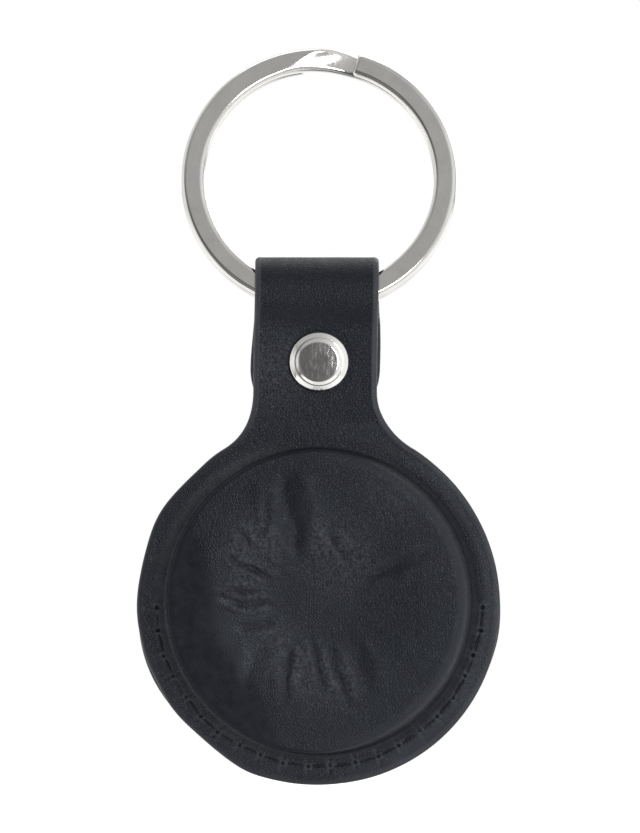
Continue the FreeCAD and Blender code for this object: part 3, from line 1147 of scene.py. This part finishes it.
def front_folds(across):
    return crease_relief(across, front_creases) + wrinkles(across)


def rear_folds(across):
    return crease_relief(across, rear_creases)


def pocket_relief(middle):
    """Soft creases and hollows of the leather stretched over the pocket."""
    across = middle[:, [0, 2]]
    radius = lengths(across - dome_shift)
    swell = ripple(across, swell_size, swell_height, seed=0.0) * smooth(*swell_zone, radius)
    pillow = pillow_height * bell(radius - pillow_radius, pillow_width)
    return front_folds(across) + swell + pillow - dish_depth * smooth(*dish_zone, radius)


def snap_dent(middle):
    """How far the snap's caps press the leather in round them."""
    away = np.hypot(middle[:, 0], middle[:, 2] - snap_z)
    return snap_dent_depth * bell(away - snap_dent_radius, snap_dent_width)


def add_patches_and_painted_light(piece, spots, with_seam, folds=None):
    """Pale patches and painted light on the rim, with painted highlight on crease ridges and painted shade
    in their valleys; painted light at the pocket and the seam; and the wall's matt leather.
    """
    across = (np.array([vertex.co for vertex in piece.data.vertices]) / mm - centre)[:, [0, 2]]
    reach = lengths(across - dome_shift)
    past_foot = reach - dome_foot_radius
    on_disc = across[:, 1] < disc_radius
    # Painted light lifting the whole rim, and the pale patches; on the front these paint light on creased
    # slopes
    plain_share = 1 - rim_light * smooth(*rim_zone, past_foot) * on_disc
    for x, z, size, strength in spots:
        plain_share *= 1 - strength * bell(np.hypot(across[:, 0] - x, across[:, 1] - z), size)
    stretch = 1 - plain_share
    # Painted highlight on crease ridges and painted shade in their valleys
    if folds is not None:
        low, high = ridge_shading
        stretch *= low + (high - low) * smooth(-ridge_height, ridge_height, folds(across))
    add_attribute(piece, "stretch", np.minimum(stretch, 1))
    right = at_right(across, reach)
    # Painted fill light in the lamp's shadow beside the left wall
    left = smooth(*shadow_fill_zone, across[:, 0] / np.maximum(reach, tiny))
    kept = 1 - wall_shadow_fill * between(*beside_wall, past_foot) * left
    # Painted highlights on the slack wall and crown at the right
    kept *= 1 - slack_wall_sheen * between(*slack_wall, past_foot) * right
    kept *= 1 - slack_crown_sheen * between(*slack_crown, past_foot) * right
    # Painted highlight on the outer rim at the right
    kept *= 1 - outer_rim_sheen * smooth(*outer_zone, lengths(across) - disc_radius) * on_disc * right
    # Painted highlights on the lips and pleats round the needle holes
    for hole in seam_places() if with_seam else ():
        out, beside = from_hole(across, hole)
        kept *= 1 - lip_sheen * bell(np.hypot(out, beside) - lip_radius, lip_width)
        kept *= 1 - pleat_sheen * bell(np.abs(beside) - pleat_gap, pleat_width) * bell(out, dent_reach)
    # All of this is painted light: fill beside the left wall, and highlights
    add_attribute(piece, "painted_light", 1 - kept)
    matt_foot = foot_matt * between(*wall_foot, past_foot) * right
    add_attribute(piece, "matt", between(*steep_wall, past_foot) * (1 - right) + matt_foot)
    return across, past_foot, right


def build_front():
    """Front leather with the strap, as far as the ring's fold."""
    pocket = dome_points(front_depth, pocket_step, wall_step)
    strip = grid_points((-strap_width, bend_start_z), (strap_width, seam_s), strap_step)
    inner = joined(pocket, seam_points(), rim_points(bend_start_z), strip)

    def place(flat):
        middle, normal = on_dome(flat, front_depth, -leather / 2, -1)
        bent, bent_normal = on_strap(flat)
        high = (flat[:, 1] > bend_start_z)[:, None]
        return np.where(high, bent, middle), np.where(high, bent_normal, normal)

    def relief(middle, flat):
        low = flat[:, 1] < bend_start_z
        height = np.where(low, seam_relief(middle) + pocket_relief(middle) - snap_dent(middle), 0)
        radius = lengths(flat)
        rolled = smooth(*roll_zone, radius - disc_radius) * at_right(flat, radius)
        height -= roll_depth * rolled * smooth(*roll_height_zone, flat[:, 1])
        return height + ripple(flat, *front_uneven, seed=3.0)

    piece = leather_sheet("front_leather", front_edge(), inner, place, relief, strap_seam())
    across, past_foot, right = add_patches_and_painted_light(piece, front_spots, True, front_folds)
    leftwards = smooth(*calm_zone, across[:, 0] + calm_lean * across[:, 1])
    add_attribute(piece, "calm", smooth(*pocket_zone, past_foot) * leftwards)
    # Paler band along the strap's edges, and a painted highlight along the rim's right edge
    on_leg = smooth(*leg_zone, across[:, 1] - disc_radius)
    add_attribute(piece, "edge_band_and_sheen", np.maximum(on_leg, right_edge_sheen * right))
    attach(piece, "holder")
    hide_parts("front_panel")


def tail_edge():
    """The tail's free edge, from the seam's right end down round the tip and up to its left end."""
    turns = np.linspace(0, math.pi, 120)
    tip = columns(tail_end_radius * np.cos(turns), tail_end_s + tail_end_radius * np.sin(turns))
    line = joined([[tail_end_radius, seam_s]], tip, [[-tail_end_radius, seam_s]])
    line = resample(line, fine_step)
    past_seam = line[:, 1] - seam_s
    narrow = strap_width / tail_width
    line[:, 0] *= narrow + (1 - narrow) * smooth(0, tail_widening, past_seam)
    line[:, 0] += fold_shift + (tail_shift - fold_shift) * smooth(*tail_shift_zone, past_seam)
    return line


def build_tail():
    """The strap's tail behind the ring's fold, which bends back from the snap."""
    inner = grid_points((-tail_width, seam_s), (tail_width, strap_end), strap_step)

    def relief(middle, flat):
        return ripple(flat, *tail_uneven, seed=7.0) - snap_dent(middle)

    piece = leather_sheet("tail_leather", tail_edge(), inner, on_strap, relief, strap_seam()[::-1])
    add_patches_and_painted_light(piece, tail_spots, False)
    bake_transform(piece)
    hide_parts("strap_tail")


def rear_edge():
    """The rear leather's outline, with a notch at the top that clears the tail."""
    notch = tail_end_radius + notch_margin
    meet_z = (disc_radius**2 + tail_end_z**2 - notch**2) / (2 * tail_end_z)
    meet_x = math.sqrt(disc_radius**2 - meet_z**2)
    start = math.degrees(math.atan2(meet_x, meet_z))
    angles = np.linspace(start, 360 - start, rim_samples)
    disc = clockwise(np.radians(angles)) * rim_radius(angles, rear_rim_bumps)[:, None]
    dip = math.atan2(meet_x, tail_end_z - meet_z)
    turns = np.linspace(-dip, dip, 80)[1:-1]
    arc = columns(notch * np.sin(turns), tail_end_z - notch * np.cos(turns))
    line = joined(disc, arc)
    return resample(soften(line[::-1], notch_round), fine_step)[:-1]


def soften(line, size):
    """A closed line with its corners rounded off by averaging over a length."""
    line = resample(joined(line, line[:1]), soften_step)[:-1]
    reach = round(size / soften_step)
    weights = np.hanning(2 * reach + 1)
    weights /= weights.sum()
    wrapped = joined(line[-reach:], line, line[:reach])
    softened = columns(*(np.convolve(column, weights, "valid") for column in wrapped.T))
    return joined(softened, softened[:1])


def build_rear():
    """Rear leather, over both the rear panel and its flap."""
    pocket = dome_points(rear_depth, rear_step, rear_wall_step)
    inner = joined(pocket, seam_points(), rim_points(disc_radius + sheet_margin))

    def place(flat):
        gap = panel_gap * (sewn_gap_share + (1 - sewn_gap_share) * smooth(*unsewn_zone, flat[:, 1]))
        return on_dome(flat, rear_depth, gap + leather / 2, 1)

    def relief(middle, flat):
        return seam_relief(middle) + rear_folds(middle[:, [0, 2]]) + ripple(flat, *rear_uneven, seed=11.0)

    piece = leather_sheet("rear_leather", rear_edge(), inner, place, relief, facing=1)
    add_patches_and_painted_light(piece, rear_spots, True, rear_folds)
    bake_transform(piece)
    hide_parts("rear_panel", "rear_flap")


# Thread


def build_thread(name, node, surface_y, facing):
    """Stitches that lie in the groove and dip into the needle holes."""
    holes = seam_places()
    shares = np.linspace(0, 1, stitch_points)
    arch = np.sin(shares * math.pi) ** stitch_arch
    radii = thread_radius * (thread_end_size + (1 - thread_end_size) * arch)
    points, faces = [], []
    for index, (start, end) in enumerate(zip(holes, holes[1:])):
        across = start + (end - start) * (stitch_inset + (1 - 2 * stitch_inset) * shares)[:, None]
        rise = stitch_rise + stitch_change * wave(index, *stitch_wave)
        height = -groove_depth - stitch_dip + (stitch_dip + thread_radius + rise) * arch
        line = columns(across[:, 0], surface_y + facing * height, across[:, 1]) + centre
        points.append(tube(line, radii, thread_sides))
        first = index * stitch_points * thread_sides
        faces += [tuple(first + corner for corner in face) for face in skin(stitch_points, thread_sides)]
    piece = new_object(name, np.concatenate(points), faces, [thread_finish])
    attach(piece, "holder")
    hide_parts(node)


# Snap


def turned_cap(name, radius, top, seat, profile, foot, step, facing):
    """One of the snap's two outer caps."""
    corners = [(0.0, top)] + [(share * radius, top - drop) for share, drop, _ in profile]
    corners += [(foot[0] * radius, seat), (0.0, seat)]
    path = rounded_path(corners, [bend for _, _, bend in profile] + [foot[1]])
    path = joined(resample(path[:-1], step), path[-1:])
    middle = np.array([0.0, centre[1], centre[2] + snap_z])
    return lathe(name, path, middle, facing, cap_finish)


def build_cap():
    """Front cap: rolled rim, thin groove, bright shoulder and a flat-domed middle."""
    radius = (cap_high[0] - cap_low[0]) / 2 * cap_growth
    top = centre[1] - cap_low[1]
    piece = turned_cap("cap_shell", radius, top, leather - cap_sink, cap_profile, cap_foot, cap_step, -1)
    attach(piece, "holder")
    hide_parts("snap_cap")


def build_post():
    """Plain domed rear cap of the post."""
    radius = (post_high[0] - post_low[0]) / 2
    top = post_high[1] - centre[1]
    seat = tail_y + leather / 2
    piece = turned_cap("post_cap", radius, top, seat, post_profile, post_foot, post_step, 1)
    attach(piece, "strap_tail")
    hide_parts("snap_post")


def dress_inner_snap():
    """The pieces between the leathers keep their CAD shapes."""
    finishes = {"snap_socket": cap_finish, "snap_stud": cap_finish, "socket_spring": spring_finish}
    for node, finish in finishes.items():
        mesh = frame["nodes"][node].data
        mesh.materials.clear()
        mesh.materials.append(finish)


# Ring


def wire_outline():
    """The flat wire's section, (radial, along the ring's axis), with rounded edges."""
    across = wire_width / 2
    deep = wire_thickness / 2
    corners = [(across, 0), (across, deep), (-across, deep), (-across, -deep), (across, -deep), (across, 0)]
    return rounded_path(corners, [wire_edge] * 4, wire_step)[:-1]


def build_ring():
    """Two turns of flat wire, the front one crossing to the rear in a short joggle at the top."""
    start = front_end - 2 * math.pi
    stop = rear_end + 2 * math.pi
    angles = np.linspace(start, stop, round((stop - start) / ring_step))
    section = wire_outline()
    slant = joggle_start + joggle_skew * section[None, :, 0] / wire_width * 2
    layer = (wire_thickness + coil_gap) / 2 * (2 * ramp(slant, joggle_end, angles[:, None]) - 1)
    middle_radius = ring_radius - wire_width / 2
    lean = np.array([0.0, math.sin(ring_tilt), math.cos(ring_tilt)])
    axis = np.array([0.0, math.cos(ring_tilt), -math.sin(ring_tilt)])
    ring_centre = -lean * (ring_radius - wire_width)
    outwards = np.sin(angles)[:, None] * np.array([1.0, 0, 0]) + np.cos(angles)[:, None] * lean
    from_end = np.minimum(angles - start, stop - angles) * middle_radius
    rounding = np.sqrt(np.clip(1 - (1 - np.clip(from_end / wire_end, 0, 1)) ** 2, 0, 1))
    size = (wire_end_size + (1 - wire_end_size) * rounding)[:, None]
    radial = middle_radius + section[None, :, 0] * size
    deep = layer + section[None, :, 1] * size
    points = ring_centre + outwards[:, None] * radial[..., None] + axis * deep[..., None]
    piece = new_object("key_ring", points.reshape(-1, 3), skin(len(angles), len(section)), [ring_finish])
    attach(piece, "ring")
    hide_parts("split_ring")


# Room


def build_floor():
    """A pale table top that fades into the white backdrop away from the object."""
    graph = Graph(bpy.data.materials.new("pale_floor"))
    graph.tree.nodes.clear()
    seen = graph.math("MAXIMUM", *graph.rays())
    place = graph.node("TexCoord").outputs["Object"]
    away = graph.node("VectorMath", {0: place}, operation="LENGTH").outputs["Value"]
    lift = graph.times(seen, graph.spread(away, floor_near * mm, floor_far * mm, *floor_glow))
    matt = graph.node("BsdfDiffuse", {"Color": grey(floor_tone)}).outputs[0]
    glow = graph.node("Emission", {"Color": grey(1), "Strength": lift}).outputs[0]
    both = graph.node("AddShader", {0: matt, 1: glow}).outputs[0]
    graph.node("OutputMaterial", {"Surface": both})
    edges = (centre[1] - floor_front, floor_back)
    corners = [(x, y, 0) for y in edges for x in (-floor_side, floor_side)]
    floor = new_object("floor", corners, [(0, 1, 3, 2)], [graph.owner])
    floor.location.z = cad_low[2] - floor_drop * mm


def build_world():
    """White to the eye all round, with the room's dim side behind the camera for polished metal."""
    world = bpy.data.worlds.new("studio")
    bpy.context.scene.world = world
    graph = Graph(world)
    graph.tree.nodes.clear()
    seen, mirrored = graph.rays()
    toward = graph.node("TexCoord").outputs["Generated"]
    aim = graph.node("SeparateXYZ", {0: toward}).outputs
    shades = graph.node("ValToRGB", {"Fac": graph.spread(graph.dot(toward, dim_side), 0, 1)})
    bands = shades.color_ramp.elements
    while len(bands) < len(room_levels):
        bands.new(0.5)
    for band, (degrees, level) in zip(bands, room_levels):
        band.position = math.cos(math.radians(degrees))
        band.color = grey(level)
    left = graph.spread(aim["X"], bright_left_zone[1], bright_left_zone[0], 1, 0)
    sides = graph.mix(left, shades.outputs["Color"], grey(1))
    colour = graph.mix(mirrored, grey(soft_level), sides)
    ceiling = graph.spread(aim["Z"], *ceiling_zone, 1, ceiling_level)
    back = graph.spread(graph.dot(toward, dim_back), *dim_back_zone, 1, dim_back_level)
    change = graph.math("SUBTRACT", graph.times(ceiling, back), 1)
    level = graph.math("ADD", 1, graph.times(mirrored, change))
    room = graph.node("Background", {"Color": colour, "Strength": level}).outputs[0]
    white = graph.node("Background", {"Color": grey(1), "Strength": 1.0}).outputs[0]
    shown = graph.node("MixShader", {0: seen, 1: room, 2: white}).outputs[0]
    graph.node("OutputWorld", {"Surface": shown})


def build_lamps():
    aim = Vector((0, 0, centre[2] + aim_height))
    for name, (place, size, power) in lamps.items():
        light = bpy.data.lights.new(name, "AREA")
        light.shape = "DISK"
        light.size = size * mm
        light.energy = power
        lamp = add_object(name, light)
        lamp.location = Vector(place) * mm
        lamp.rotation_euler = (aim - Vector(place)).to_track_quat("-Z", "Y").to_euler()


def build_camera():
    camera = bpy.data.cameras.new("camera")
    camera.sensor_width = sensor
    camera.lens = sensor * camera_distance / (photo_height / pixels_per_mm)
    holder = add_object("camera", camera)
    x = (photo_width / 2 - disc_pixel[0]) / pixels_per_mm
    z = centre[2] + (disc_pixel[1] - photo_height / 2) / pixels_per_mm
    holder.location = Vector((x, centre[1] - camera_distance, z)) * mm
    holder.rotation_euler = (math.pi / 2, 0, 0)
    bpy.context.scene.camera = holder


build_front()
build_tail()
build_rear()
build_thread("front_stitches", "front_thread", -leather, -1)
build_thread("rear_stitches", "rear_thread", panel_gap * sewn_gap_share + leather, 1)
build_cap()
build_post()
dress_inner_snap()
build_ring()
build_floor()
build_world()
build_lamps()
build_camera()
bpy.context.scene.view_settings.view_transform = "Standard"
